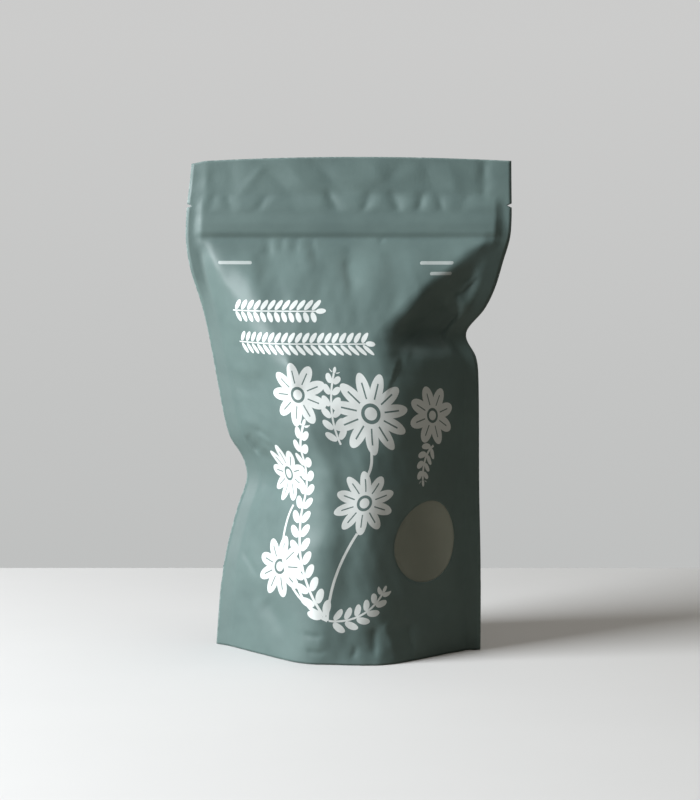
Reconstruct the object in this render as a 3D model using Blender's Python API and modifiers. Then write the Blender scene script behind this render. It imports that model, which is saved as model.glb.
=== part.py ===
"""Compost bag: a filled two-litre stand-up pouch with a press-to-close strip and a round clear window.

Metres, +Z up. The bag stands on z = 0 with its bottom fold flat under the filling, and its front faces -Y.
The origin is on the floor, in the middle of the base.

The front film, back film and bottom fold all come from the same few curves: where the two side seams run,
how far the filling pushes the films apart at each height, and how that swell dies away towards the seams.
"""
import bisect
import math

import bmesh
import bpy
from mathutils import Matrix, Vector

# ---- driving dimensions (metres) ----
BAG_HEIGHT = 0.334
FILM = 0.0003                 # film thickness
GAP = 0.0003                  # clearance between films that lie together
SEAL_WIDTH = 0.0095           # flat heat seal down each side
TOP_SEAL_HEIGHT = 0.021       # flat heat seal across the top
GUSSET_DEPTH = 0.055          # height of the folded bottom film where it is trapped in the side seals
GUSSET_FLAT = 0.45            # share of the half width over which the bottom film lies flat
HEM = 0.0002                  # the films' lower edges stop this far above the floor
FILL_TOP = 0.230              # level of the filling at the front and back walls
FILL_CROWN = 0.006            # how far the filling heaps up in the middle
FILL_INSET = 0.0013           # filling's distance inside the outer surface of the films
FILL_LIFT = 0.0013            # filling's height above the bottom film
FILL_END = 0.93               # the filling ends at this share of the half width
SWELL_SHAPE = 2.3             # roundness of the cross-section: 2 is a plain parabola

ZIP_LOW = 0.280               # lower edge of the press-to-close strips
ZIP_HIGH = 0.295
ZIP_END = 0.96                # strips stop at this share of the half width
ZIP_FLANGE = 0.0003
ZIP_SPACE = 0.0015            # clear distance between the two flanges
BEAD_WIDTH = 0.0007
BEAD_HEIGHT = 0.0009
RIB_OFFSET = 0.0011           # the groove's two ribs stand this far above and below the bead's middle

WINDOW_CENTRE = (0.0553, 0.079)   # x and z of the round window
WINDOW_RADIUS = 0.0272
PATCH_MARGIN = 0.0055         # width of the ring where the clear patch is sealed behind the window

NOTCH_HEIGHT = 0.3015         # height of the tear notches above the floor
NOTCH_DEPTH = 0.003
NOTCH_HALF_WIDTH = 0.00135

# Side seams as (height, x). The filled bag has a crease in each: low on the left, under the shoulder on the right.
LEFT_SEAM = [(0.0, -0.0915), (0.040, -0.0882), (0.065, -0.0845), (0.096, -0.0764), (0.116, -0.0700),
             (0.130, -0.0726), (0.144, -0.0812), (0.157, -0.0850), (0.180, -0.0894), (0.212, -0.0952),
             (0.235, -0.1003), (0.258, -0.1068), (0.272, -0.1094), (0.285, -0.1100), (0.312, -0.1082),
             (BAG_HEIGHT, -0.1062)]
RIGHT_SEAM = [(0.0, 0.0905), (0.060, 0.0903), (0.110, 0.0890), (0.185, 0.0880), (0.200, 0.0862),
              (0.212, 0.0798), (0.219, 0.0806), (0.232, 0.0915), (0.246, 0.0985), (0.265, 0.1042),
              (0.280, 0.1085), (0.293, 0.1095), (0.312, 0.1093), (BAG_HEIGHT, 0.1090)]
# How far the filling pushes each film out at the middle, as (height, distance).
SWELL = [(0.0, 0.0505), (0.040, 0.0530), (0.080, 0.0545), (0.120, 0.0535), (0.160, 0.0495), (0.200, 0.0420),
         (0.230, 0.0310), (0.250, 0.0200), (0.265, 0.0100), (0.275, 0.0030), (0.280, 0.0), (BAG_HEIGHT, 0.0)]
# Hollows in the front film: x, height, half width, half height, tilt in degrees, share of the swell lost.
FRONT_HOLLOWS = [(0.050, 0.236, 0.034, 0.012, 38.0, 0.42), (-0.060, 0.130, 0.014, 0.010, 0.0, 0.30)]
BACK_HOLLOWS = [(-0.030, 0.225, 0.040, 0.014, -15.0, 0.25), (-0.055, 0.125, 0.018, 0.012, 0.0, 0.25)]

# Columns across the bag: 1 is where the side seal starts and 2 is the bag's outer edge.
HALF_COLUMNS = [0.1, 0.2, 0.3, 0.4, 0.5, 0.6, 0.7, 0.79, 0.87, 0.93, 0.965, 1.0, 2.0]
COLUMNS = [-c for c in reversed(HALF_COLUMNS)] + [0.0] + HALF_COLUMNS
FILL_COLUMNS = [c for c in COLUMNS if abs(c) <= FILL_END]
LOW_ROWS = [HEM, 0.008, 0.020, 0.034, 0.048, 0.060]
MIDDLE_ROWS = [0.065, 0.080, 0.095, 0.110, 0.124, 0.138, 0.152, 0.168, 0.184, 0.198, 0.210, 0.220, FILL_TOP]
TOP_ROWS = [0.240, 0.250, 0.260, 0.270, 0.277, 0.2815, 0.2935, 0.299, 0.305, BAG_HEIGHT - TOP_SEAL_HEIGHT,
            BAG_HEIGHT]
ROWS = LOW_ROWS + MIDDLE_ROWS + TOP_ROWS

FRONT, BACK = -1, 1


# ---- the bag's shape ----
def smooth_curve(points, at):
    """Value at a height on a smooth curve through (height, value) points."""
    heights = [p[0] for p in points]
    i = min(max(bisect.bisect_right(heights, at) - 1, 0), len(points) - 2)
    (h0, v0), (h1, v1) = points[i], points[i + 1]

    def slope(k):
        low, high = points[max(k - 1, 0)], points[min(k + 1, len(points) - 1)]
        return (high[1] - low[1]) / (high[0] - low[0])

    span = h1 - h0
    t = min(max((at - h0) / span, 0.0), 1.0)
    m0, m1 = slope(i) * span, slope(i + 1) * span
    return ((2 * t**3 - 3 * t**2 + 1) * v0 + (t**3 - 2 * t**2 + t) * m0
            + (3 * t**2 - 2 * t**3) * v1 + (t**3 - t**2) * m1)


def ease(t):
    """Smooth step from 0 to 1."""
    t = min(max(t, 0.0), 1.0)
    return t * t * (3 - 2 * t)


def across(column, height):
    """x of a column at a height."""
    left = smooth_curve(LEFT_SEAM, height) + SEAL_WIDTH
    right = smooth_curve(RIGHT_SEAM, height) - SEAL_WIDTH
    middle, half = (left + right) / 2, (right - left) / 2
    inside = max(-1.0, min(1.0, column))
    return middle + inside * half + (column - inside) * SEAL_WIDTH


def seal_half(height):
    """Half thickness of the side seal: four films at the trapped bottom fold, two above it."""
    four_films = 2 * FILM + 1.5 * GAP
    two_films = FILM + 0.5 * GAP
    return four_films + (two_films - four_films) * ease((height - LOW_ROWS[-1]) / 0.005)


def zip_room(column, height):
    """Extra half thickness where the press-to-close strips lie between the films."""
    reach = min(ease((height - 0.270) / 0.010), ease((BAG_HEIGHT - TOP_SEAL_HEIGHT - height) / 0.011))
    strips = 0.5 * ZIP_SPACE + ZIP_FLANGE + GAP + FILM - seal_half(height)
    return strips * reach * min(1.0, (1.0 - abs(column)) / 0.035)


def distance_out(side, column, height):
    """Distance of the film's outer surface from the middle plane of the bag."""
    half = seal_half(height)
    if abs(column) >= 1.0:
        return half
    swell = max(smooth_curve(SWELL, height), 0.0) * (1 - abs(column) ** SWELL_SHAPE)
    x = across(column, height)
    kept = 1.0
    for hx, hz, width, tall, tilt, loss in (FRONT_HOLLOWS if side == FRONT else BACK_HOLLOWS):
        turn = math.radians(tilt)
        along = (x - hx) * math.cos(turn) + (height - hz) * math.sin(turn)
        beside = (height - hz) * math.cos(turn) - (x - hx) * math.sin(turn)
        kept -= loss * math.exp(-((along / width) ** 2 + (beside / tall) ** 2))
    return half + zip_room(column, height) + swell * max(kept, 0.3)


def film_point(side, column, height, inset=0.0):
    """Point on a film, moved in from its outer surface by inset, at right angles to the level section."""
    step = 0.01
    before = (across(column - step, height), side * distance_out(side, column - step, height))
    after = (across(column + step, height), side * distance_out(side, column + step, height))
    run = Vector((after[0] - before[0], after[1] - before[1])).normalized()
    inward = Vector((-run.y, run.x)) if side == FRONT else Vector((run.y, -run.x))
    x = across(column, height) + inward.x * inset
    y = side * distance_out(side, column, height) + inward.y * inset
    return Vector((x, y, height))


def seal_top(column):
    """Height to which the bottom film is sealed up against the front and back films."""
    reach = abs(film_point(FRONT, column, 0.010, FILM + GAP + FILM / 2).y)
    return GUSSET_DEPTH - reach


def gusset_middle(column):
    """Height of the bottom film along the bag's middle plane: flat on the floor, then up to the side seals."""
    edge = min(abs(column), 1.0)
    climb = ease((edge - GUSSET_FLAT) / (1 - GUSSET_FLAT))
    return FILM / 2 + (GUSSET_DEPTH - FILM / 2) * climb


def gusset_point(column, t, inset, lift=0.0):
    """Point on the free part of the bottom film: t runs from -1 at the front to 1 at the back."""
    top = seal_top(column)
    side = FRONT if t < 0 else BACK
    wall = film_point(side, column, top, inset)
    level = gusset_middle(column)
    flat = 1 - ease((abs(t) - 0.5) / 0.5)
    return Vector((wall.x, abs(t) * wall.y, top + (level - top) * flat + lift))


# ---- making the solids ----
def material(name, colour, roughness, transmission=0.0):
    mat = bpy.data.materials.new(name)
    mat.use_nodes = True
    shader = mat.node_tree.nodes["Principled BSDF"]
    shader.inputs["Base Color"].default_value = (*colour, 1.0)
    shader.inputs["Roughness"].default_value = roughness
    shader.inputs["Metallic"].default_value = 0.0
    shader.inputs["Transmission Weight"].default_value = transmission
    return mat


def add_object(name, bm, collection, mat=None):
    mesh = bpy.data.meshes.new(name)
    bm.to_mesh(mesh)
    bm.free()
    obj = bpy.data.objects.new(name, mesh)
    collection.objects.link(obj)
    if mat:
        mesh.materials.append(mat)
        mesh.shade_smooth()
        mesh.set_sharp_from_angle(angle=math.radians(50))
    return obj


def loft(sections, closed=False):
    """Skin a list of sections, each a list of points; closed sections are joined round and capped at both ends."""
    bm = bmesh.new()
    rings = [[bm.verts.new(p) for p in section] for section in sections]
    count = len(rings[0])
    for ring, following in zip(rings, rings[1:]):
        for i in range(count if closed else count - 1):
            j = (i + 1) % count
            bm.faces.new((ring[i], ring[j], following[j], following[i]))
    if closed:
        bm.faces.new(list(reversed(rings[0])))
        bm.faces.new(rings[-1])
        bmesh.ops.recalc_face_normals(bm, faces=bm.faces)
        bmesh.ops.triangulate(bm, faces=[f for f in bm.faces if len(f.verts) > 4])
    return bm


def give_thickness(obj, thickness, offset):
    solid = obj.modifiers.new("Film thickness", "SOLIDIFY")
    solid.thickness = thickness
    solid.offset = offset


def cut(obj, cutter, operation="DIFFERENCE"):
    boolean = obj.modifiers.new("Cut " + cutter.name, "BOOLEAN")
    boolean.operation = operation
    boolean.object = cutter
    boolean.solver = "EXACT"


def film_sheet(side, columns, rows, inset=0.0):
    """Open surface of a film, facing away from the filling."""
    ordered = columns if side == FRONT else list(reversed(columns))
    return loft([[film_point(side, c, z, inset) for c in ordered] for z in rows])


def window_cutter(name, radius, collection):
    """Cylinder square to the front film at the middle of the window."""
    x, z = WINDOW_CENTRE
    column = min(COLUMNS, key=lambda c: abs(across(c, z) - x))
    here = film_point(FRONT, column, z)
    beside = film_point(FRONT, column + 0.05, z)
    above = film_point(FRONT, column, z + 0.010)
    outward = (beside - here).cross(above - here).normalized()
    slope = math.radians(90) - math.atan2(-outward.y, outward.x)
    centre = Vector((x, here.y + (x - here.x) * math.tan(slope), z))
    bm = bmesh.new()
    bmesh.ops.create_cone(bm, cap_ends=True, segments=48, radius1=radius, radius2=radius, depth=0.05,
                          matrix=Matrix.Translation(centre) @ outward.to_track_quat("Z", "Y").to_matrix().to_4x4())
    return add_object(name, bm, collection)


def notch_cutter(name, outward, collection):
    """Three-sided prism through both films at a side edge, with its point towards the bag."""
    edge = across(2.0 * outward, NOTCH_HEIGHT)
    radius = (NOTCH_DEPTH + 0.001) / 1.5
    bm = bmesh.new()
    bmesh.ops.create_cone(bm, cap_ends=True, segments=3, radius1=radius, radius2=radius, depth=0.008)
    point = max(bm.verts, key=lambda v: v.co.x**2 + v.co.y**2).co
    turn = math.atan2(point.y, point.x)
    bmesh.ops.rotate(bm, verts=bm.verts, matrix=Matrix.Rotation(-turn, 3, "Z"))
    flatten = NOTCH_HALF_WIDTH / (radius * math.sin(math.radians(60)))
    bmesh.ops.scale(bm, verts=bm.verts, vec=(1.0, flatten, 1.0))
    if outward > 0:
        bmesh.ops.rotate(bm, verts=bm.verts, matrix=Matrix.Rotation(math.pi, 3, "Z"))
    bmesh.ops.rotate(bm, verts=bm.verts, matrix=Matrix.Rotation(math.radians(90), 3, "X"))
    bmesh.ops.translate(bm, verts=bm.verts, vec=(edge - outward * (NOTCH_DEPTH - radius), 0.0, NOTCH_HEIGHT))
    return add_object(name, bm, collection)


def make_panels(parts, cutters, film):
    notches = [notch_cutter("notch_left", -1, cutters), notch_cutter("notch_right", 1, cutters)]
    panels = {}
    for name, side in (("front_panel", FRONT), ("back_panel", BACK)):
        panels[side] = add_object(name, film_sheet(side, COLUMNS, ROWS), parts, film)
        give_thickness(panels[side], FILM, -1.0)
        for notch in notches:
            cut(panels[side], notch)
    cut(panels[FRONT], window_cutter("window_hole", WINDOW_RADIUS, cutters))


def make_window(parts, cutters, clear):
    """Clear patch sealed behind the round hole in the front film."""
    x, z = WINDOW_CENTRE
    reach = WINDOW_RADIUS + 0.022
    columns = [c for c in COLUMNS if abs(across(c, z) - x) < reach and c < 1.0]
    rows = [r for r in ROWS if abs(r - z) < reach]
    patch = add_object("window_film", film_sheet(FRONT, columns, rows, FILM + GAP), parts, clear)
    give_thickness(patch, FILM, -1.0)
    cut(patch, window_cutter("patch_outline", WINDOW_RADIUS + PATCH_MARGIN, cutters), "INTERSECT")


def make_gusset(parts, film):
    """Bottom film: sealed up the front and back films, flat on the floor between, folded up at the sides."""
    inset = FILM + GAP + FILM / 2
    spans = [-1.0, -0.9, -0.78, -0.64, -0.5, -0.25, 0.0, 0.25, 0.5, 0.64, 0.78, 0.9, 1.0]
    sections = []
    for column in COLUMNS:
        top = seal_top(column)
        leaf = [HEM, top / 3, top * 2 / 3]
        front = [film_point(FRONT, column, z, inset) for z in leaf]
        middle = [gusset_point(column, t, inset) for t in spans]
        back = [film_point(BACK, column, z, inset) for z in reversed(leaf)]
        sections.append(front + middle + back)
    gusset = add_object("base_gusset", loft(sections), parts, film)
    give_thickness(gusset, FILM, 0.0)


def make_filling(parts, soil):
    """Potting mix: fills the films from the bottom fold to a low heap below the press-to-close strip."""
    inset = FILL_INSET
    spans = [-1.0, -0.78, -0.64, -0.5, -0.25, 0.0, 0.25, 0.5, 0.64, 0.78, 1.0]
    heap = [-0.7, -0.35, 0.0, 0.35, 0.7]
    sections = []
    for column in FILL_COLUMNS:
        start = seal_top(column) + FILL_LIFT
        low = [start + (LOW_ROWS[-1] - start) * k / 3 for k in (1, 2, 3)]
        rows = low + MIDDLE_ROWS
        bottom = [gusset_point(column, t, inset, FILL_LIFT) for t in reversed(spans)]
        front = [film_point(FRONT, column, z, inset) for z in rows]
        walls = [film_point(side, column, FILL_TOP, inset) for side in (FRONT, BACK)]
        crown = FILL_CROWN * (1 - (column / FILL_END) ** 2)
        top = [walls[0].lerp(walls[1], (t + 1) / 2) + Vector((0, 0, crown * (1 - t * t))) for t in heap]
        back = [film_point(BACK, column, z, inset) for z in reversed(rows)]
        sections.append(bottom + front + top + back)
    add_object("potting_mix", loft(sections, closed=True), parts, soil)


def make_zip(parts, plastic):
    """Two extruded strips inside the mouth: a groove on the front film and the bead that presses into it."""
    inner = 0.5 * ZIP_SPACE
    outer = inner + ZIP_FLANGE
    middle = (ZIP_LOW + ZIP_HIGH) / 2
    low, high = ZIP_LOW + 0.001, ZIP_HIGH - 0.001
    half = BEAD_WIDTH / 2

    def rib(centre, tall):
        return [(inner, centre - half), (inner - tall, centre - half), (inner - tall, centre + half),
                (inner, centre + half)]

    groove = rib(middle - RIB_OFFSET, BEAD_HEIGHT) + rib(middle + RIB_OFFSET, BEAD_HEIGHT)
    bead = rib(middle, BEAD_HEIGHT)
    ends = [across(-ZIP_END, middle), across(ZIP_END, middle)]
    for name, side, teeth in (("zip_strip_front", FRONT, groove), ("zip_strip_back", BACK, bead)):
        outline = [(outer, low), (inner, low)] + teeth + [(inner, high), (outer, high)]
        sections = [[Vector((x, side * y, z)) for y, z in outline] for x in ends]
        add_object(name, loft(sections, closed=True), parts, plastic)


def build():
    for obj in list(bpy.data.objects):
        bpy.data.objects.remove(obj, do_unlink=True)
    parts = bpy.data.collections.new("compost_bag")
    cutters = bpy.data.collections.new("cutters")
    for collection in (parts, cutters):
        bpy.context.scene.collection.children.link(collection)

    film = material("matte green film", (0.115, 0.180, 0.168), 0.55)
    clear = material("clear film", (0.60, 0.63, 0.60), 0.25, transmission=0.9)
    plastic = material("zip plastic", (0.60, 0.64, 0.62), 0.35)
    soil = material("potting mix", (0.035, 0.024, 0.016), 0.95)

    make_panels(parts, cutters, film)
    make_window(parts, cutters, clear)
    make_gusset(parts, film)
    make_filling(parts, soil)
    make_zip(parts, plastic)

    for cutter in cutters.objects:
        cutter.hide_render = True
        cutter.display_type = "WIRE"


build()
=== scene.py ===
import math
import random

import bmesh
import bpy
import numpy as np
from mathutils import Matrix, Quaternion, Vector, noise


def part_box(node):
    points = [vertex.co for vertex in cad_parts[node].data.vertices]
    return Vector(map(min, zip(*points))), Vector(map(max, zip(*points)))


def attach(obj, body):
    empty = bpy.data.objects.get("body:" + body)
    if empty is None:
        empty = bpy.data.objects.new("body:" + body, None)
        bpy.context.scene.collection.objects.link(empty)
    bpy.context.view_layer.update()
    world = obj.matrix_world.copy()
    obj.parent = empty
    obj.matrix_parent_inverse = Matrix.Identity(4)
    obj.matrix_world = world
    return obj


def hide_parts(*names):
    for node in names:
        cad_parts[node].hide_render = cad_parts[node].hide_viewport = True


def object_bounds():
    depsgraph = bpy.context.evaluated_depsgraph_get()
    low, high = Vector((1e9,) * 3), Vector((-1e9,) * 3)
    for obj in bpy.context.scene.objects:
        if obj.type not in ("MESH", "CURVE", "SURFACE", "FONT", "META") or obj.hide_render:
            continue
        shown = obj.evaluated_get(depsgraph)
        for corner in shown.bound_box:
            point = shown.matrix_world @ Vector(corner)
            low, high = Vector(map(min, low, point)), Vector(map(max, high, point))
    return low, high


# Compost bag: a filled stand-up pouch. Metres, +Z up, the front faces -Y.
# Film places are given as u, the distance across the flat film from its middle, and z, the height above the floor.

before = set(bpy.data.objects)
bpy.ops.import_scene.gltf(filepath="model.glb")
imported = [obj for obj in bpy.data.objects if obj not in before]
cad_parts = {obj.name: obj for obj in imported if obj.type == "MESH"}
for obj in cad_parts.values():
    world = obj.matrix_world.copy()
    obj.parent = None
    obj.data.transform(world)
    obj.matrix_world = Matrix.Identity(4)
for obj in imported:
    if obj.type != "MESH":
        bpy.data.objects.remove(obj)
cadLow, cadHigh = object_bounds()

frontSide, backSide = -1, 1

bag = {
    "height": cadHigh.z,
    "flatHalf": 0.110,          # half the width of the flat film
    "sealWidth": 0.0095,        # heat seal down each side
    "topSeal": 0.021,           # heat seal across the top
    "film": 0.0003,
    "gap": 0.0003,              # between films that lie together
    "roundness": 2.15,          # of the level section, 2 is a parabola
    "facetShare": 0.80,         # how far the front is two flat flanks and a middle, not one curve
    # where its flanks meet its middle, as (height, share of the half width, reach of the bend)
    "leftRidge": [(0.0, -0.28, 0.14), (0.040, -0.24, 0.16), (0.090, -0.30, 0.20), (0.130, -0.34, 0.16),
                  (0.160, -0.38, 0.10), (0.185, -0.43, 0.06), (0.205, -0.52, 0.12), (0.250, -0.76, 0.16),
                  (0.281, -0.90, 0.08)],
    "rightRidge": [(0.0, 0.38, 0.12), (0.040, 0.34, 0.26), (0.090, 0.34, 0.26), (0.130, 0.42, 0.36),
                   (0.175, 0.58, 0.42), (0.190, 0.62, 0.42), (0.203, 0.60, 0.34), (0.215, 0.48, 0.12),
                   (0.232, 0.49, 0.06), (0.2475, 0.59, 0.05), (0.265, 0.80, 0.05), (0.281, 0.95, 0.04)],
    # how far the middle falls away towards the right, as (height, share of the swell)
    "middleFall": [(0.0, 0.05), (0.040, 0.11), (0.120, 0.09), (0.190, 0.05), (0.215, 0.0), (0.340, 0.0)],
    "finLean": (0.62, 0.45),    # how far the left and right side seals lean back, per unit of width
    "zipLow": 0.280,
    "zipHigh": 0.295,
    "topDroop": 0.003,          # the top corners hang this far below the middle
    "notchHeight": 0.3015,
    "notchDepth": 0.003,
    "notchHalf": 0.0014,
    # where the side seams run, as (height, x)
    "leftSeam": [(0.0, -0.0915), (0.040, -0.0882), (0.065, -0.0845), (0.096, -0.0764), (0.116, -0.0700),
                 (0.130, -0.0726), (0.144, -0.0812), (0.157, -0.0850), (0.180, -0.0894), (0.212, -0.0952),
                 (0.235, -0.1003), (0.258, -0.1068), (0.272, -0.1094), (0.285, -0.1100), (0.312, -0.1082),
                 (0.334, -0.1062)],
    "rightSeam": [(0.0, 0.0905), (0.060, 0.0903), (0.110, 0.0890), (0.185, 0.0880), (0.200, 0.0862),
                  (0.212, 0.0798), (0.219, 0.0806), (0.232, 0.0915), (0.246, 0.0985), (0.265, 0.1042),
                  (0.280, 0.1085), (0.293, 0.1095), (0.312, 0.1093), (0.334, 0.1090)],
    # how far the filling pushes each film out at the middle, as (height, distance)
    "swell": [(0.0, 0.0520), (0.040, 0.0540), (0.080, 0.0556), (0.120, 0.0548), (0.160, 0.0505), (0.200, 0.0425),
              (0.230, 0.0310), (0.250, 0.0200), (0.265, 0.0100), (0.275, 0.0030), (0.280, 0.0), (0.334, 0.0)],
}
bodyHalf = bag["flatHalf"] - bag["sealWidth"]


def smoothCurve(points, at):
    # value at each height on a smooth curve through (height, value) points
    xs, ys = np.array(points).T
    low, high = np.maximum(np.arange(len(xs)) - 1, 0), np.minimum(np.arange(len(xs)) + 1, len(xs) - 1)
    slopes = (ys[high] - ys[low]) / (xs[high] - xs[low])
    i = np.clip(np.searchsorted(xs, at, side="right") - 1, 0, len(xs) - 2)
    span = xs[i + 1] - xs[i]
    t = np.clip((at - xs[i]) / span, 0, 1)
    return ((2 * t**3 - 3 * t**2 + 1) * ys[i] + (t**3 - 2 * t**2 + t) * slopes[i] * span
            + (3 * t**2 - 2 * t**3) * ys[i + 1] + (t**3 - t**2) * slopes[i + 1] * span)


def ease(t):
    t = np.clip(t, 0, 1)
    return t * t * (3 - 2 * t)


def bodySpan(z):
    # middle and half width of the swelled part between the side seals
    left = smoothCurve(bag["leftSeam"], z) + bag["sealWidth"]
    right = smoothCurve(bag["rightSeam"], z) - bag["sealWidth"]
    return (left + right) / 2, (right - left) / 2


def swellAt(z):
    return np.maximum(smoothCurve(bag["swell"], z), 0)


def bend(t, reach):
    # 0 below -reach, t above reach, and a smooth bend between
    return np.where(t > reach, t, np.maximum(t + reach, 0) ** 2 / (4 * reach))


def section(side, c, z):
    # share of the swell at a share of the half width
    plain = 1 - np.abs(c) ** bag["roundness"]
    if side == backSide:
        return plain
    places, reaches = [], []
    for ridge in ("leftRidge", "rightRidge"):
        heights, shares, widths = np.array(bag[ridge]).T
        places.append(smoothCurve(np.stack([heights, shares], axis=1), z))
        reaches.append(np.interp(z, heights, widths))
    fall = smoothCurve(bag["middleFall"], z)
    rightBend = bend(c - places[1], reaches[1])
    middle = (bend(c - places[0], reaches[0]) - rightBend) / (places[1] - places[0])
    flat = (1 - bend(places[0] - c, reaches[0]) / (1 + places[0]) - rightBend * (1 - fall) / (1 - places[1])
            - fall * middle)
    return plain + (flat - plain) * bag["facetShare"]


def makeColumnTable():
    # the film keeps its width round the swelled section, so u is measured along the curve
    heights = np.linspace(0, bag["height"], 333)
    us = np.linspace(-bodyHalf, bodyHalf, 201)
    cs = np.linspace(-1, 1, 401)
    _, half = bodySpan(heights)
    out = swellAt(heights)[:, None] * (1 - np.abs(cs)[None, :] ** bag["roundness"])
    steps = np.hypot(np.diff(cs)[None, :] * half[:, None], np.diff(out, axis=1))
    run = np.concatenate([np.zeros((len(heights), 1)), np.cumsum(steps, axis=1)], axis=1)
    run = (run / run[:, -1:] * 2 - 1) * bodyHalf
    return heights, us, np.array([np.interp(us, r, cs) for r in run])


tableHeights, tableUs, columnTable = makeColumnTable()


def columnAt(u, z):
    # share of the half width, -1 to 1, at a film place
    fz = np.clip(z / tableHeights[-1] * (len(tableHeights) - 1), 0, len(tableHeights) - 1.001)
    fu = np.clip((u + bodyHalf) / (2 * bodyHalf) * (len(tableUs) - 1), 0, len(tableUs) - 1.001)
    i, j = fz.astype(int), fu.astype(int)
    a, b = fz - i, fu - j
    return ((columnTable[i, j] * (1 - b) + columnTable[i, j + 1] * b) * (1 - a)
            + (columnTable[i + 1, j] * (1 - b) + columnTable[i + 1, j + 1] * b) * a)


# Creases and dents, each along a path of (x, z) points in millimetres. rise is its height, below 0 for a hollow.
# width is its reach to the left and to the right of the path, and sharp below 2 makes its line crisper.
frontCreases = [
    # the deep dent under the right end of the strip: a steep wall, then a lobe that faces up and left
    {"path": [(90, 262), (78, 252), (66, 244), (55, 235), (48, 223), (45, 212)], "rise": -4, "width": (9, 5)},
    {"path": [(74, 242), (64, 233), (54, 225), (46, 219), (41, 212), (38, 204)], "rise": -9, "width": (18, 6)},
    {"path": [(84, 240), (78, 228), (73, 214), (68, 204)], "rise": 2.0, "width": (5, 10)},
    # corner folds that run in from both ends of the strip
    {"path": [(-101, 281), (-90, 264), (-80, 248), (-70, 236)], "rise": 1.5, "width": (8, 8), "sharp": 1.5},
    {"path": [(100, 280), (86, 274), (70, 268)], "rise": 1.3, "width": (6, 6), "sharp": 1.5},
    {"path": [(-60, 272), (-55, 262), (-50, 250)], "rise": -0.9, "width": (7, 7)},
    {"path": [(-30, 272), (-24, 263), (-22, 254)], "rise": 0.9, "width": (5, 7)},
    # left waist
    {"path": [(-72, 146), (-66, 139), (-58, 134)], "rise": -5, "width": (5, 5), "sharp": 1.6},
    {"path": [(-62, 152), (-54, 149), (-48, 144)], "rise": -1.2, "width": (2.2, 2.6), "sharp": 1.5},
    {"path": [(-60, 146), (-53, 142), (-46, 139)], "rise": -1.0, "width": (2.0, 2.4), "sharp": 1.5},
    {"path": [(-82, 160), (-70, 156), (-58, 160)], "rise": 1.6, "width": (6, 6)},
    {"path": [(-66, 120), (-52, 112), (-38, 110)], "rise": -1.2, "width": (8, 8)},
    # left of the title's place
    {"path": [(-82, 186), (-64, 182), (-44, 190)], "rise": -1.8, "width": (7, 9)},
    {"path": [(-36, 204), (-35, 190), (-36, 176)], "rise": 1.6, "width": (9, 4), "sharp": 1.4},
    # low on the front
    {"path": [(-74, 68), (-66, 60), (-58, 51)], "rise": -1.0, "width": (3, 2.4), "sharp": 1.5},
    {"path": [(-56, 38), (-46, 28), (-38, 16)], "rise": -1.8, "width": (7, 7)},
    {"path": [(-24, 92), (-20, 60), (-17, 24)], "rise": 1.8, "width": (12, 7), "sharp": 1.6},
    {"path": [(-26, 20), (-18, 19), (-12, 20)], "rise": -0.9, "width": (1.8, 2.2), "sharp": 1.5},
    {"path": [(-24, 9), (-17, 8), (-10, 9)], "rise": -0.8, "width": (1.6, 2.0), "sharp": 1.5},
    {"path": [(6, 5), (9, 9), (8, 14)], "rise": -0.8, "width": (2, 2), "sharp": 1.5},
    {"path": [(22, 26), (21, 16), (22, 4)], "rise": -1.6, "width": (3, 4), "sharp": 1.5},
    {"path": [(26, 28), (31, 20), (35, 6)], "rise": 1.6, "width": (4, 4), "sharp": 1.5},
    {"path": [(40, 30), (43, 14), (45, 0)], "rise": -2.6, "width": (4, 8), "sharp": 1.5},
    # right flank below the pinch
    {"path": [(70, 196), (72, 170), (70, 140)], "rise": 1.6, "width": (7, 6)},
    # pleats under the strip
    {"path": [(-54, 281), (-52, 267)], "rise": -0.6, "width": (2.8, 4)},
    {"path": [(-44, 281), (-44, 270)], "rise": -0.45, "width": (2.4, 3.4)},
    {"path": [(-34, 281), (-35, 268)], "rise": -0.6, "width": (2.6, 4)},
    {"path": [(-25, 281), (-22, 270), (-20, 262)], "rise": -0.5, "width": (2.6, 3.4)},
    {"path": [(24, 283), (22, 277)], "rise": -1.0, "width": (1.6, 1.6)},
    {"path": [(0, 268), (2, 256), (6, 242)], "rise": -1.1, "width": (5, 3)},
]
backCreases = [
    {"path": [(60, 262), (30, 244), (-4, 232), (-36, 234)], "rise": -7, "width": (9, 12)},
    {"path": [(-101, 280), (-84, 262), (-70, 246)], "rise": 2.4, "width": (8, 9), "sharp": 1.5},
    {"path": [(101, 280), (86, 262), (74, 246)], "rise": 2.4, "width": (9, 8), "sharp": 1.5},
    {"path": [(-74, 142), (-56, 130), (-40, 126)], "rise": -5, "width": (7, 8), "sharp": 1.7},
    {"path": [(88, 212), (70, 208), (50, 214)], "rise": -6, "width": (6, 9), "sharp": 1.6},
    {"path": [(20, 190), (24, 140), (16, 90)], "rise": 1.8, "width": (14, 9)},
    {"path": [(-46, 80), (-40, 48), (-44, 14)], "rise": -2.0, "width": (8, 10)},
    {"path": [(48, 60), (44, 30), (46, 2)], "rise": 2.0, "width": (6, 8), "sharp": 1.5},
    {"path": [(-14, 18), (2, 16), (14, 19)], "rise": -0.9, "width": (2, 2.4), "sharp": 1.5},
    {"path": [(-30, 279), (-31, 268)], "rise": -0.9, "width": (2.6, 3)},
    {"path": [(36, 279), (35, 268)], "rise": -0.9, "width": (2.6, 3)},
]
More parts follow.
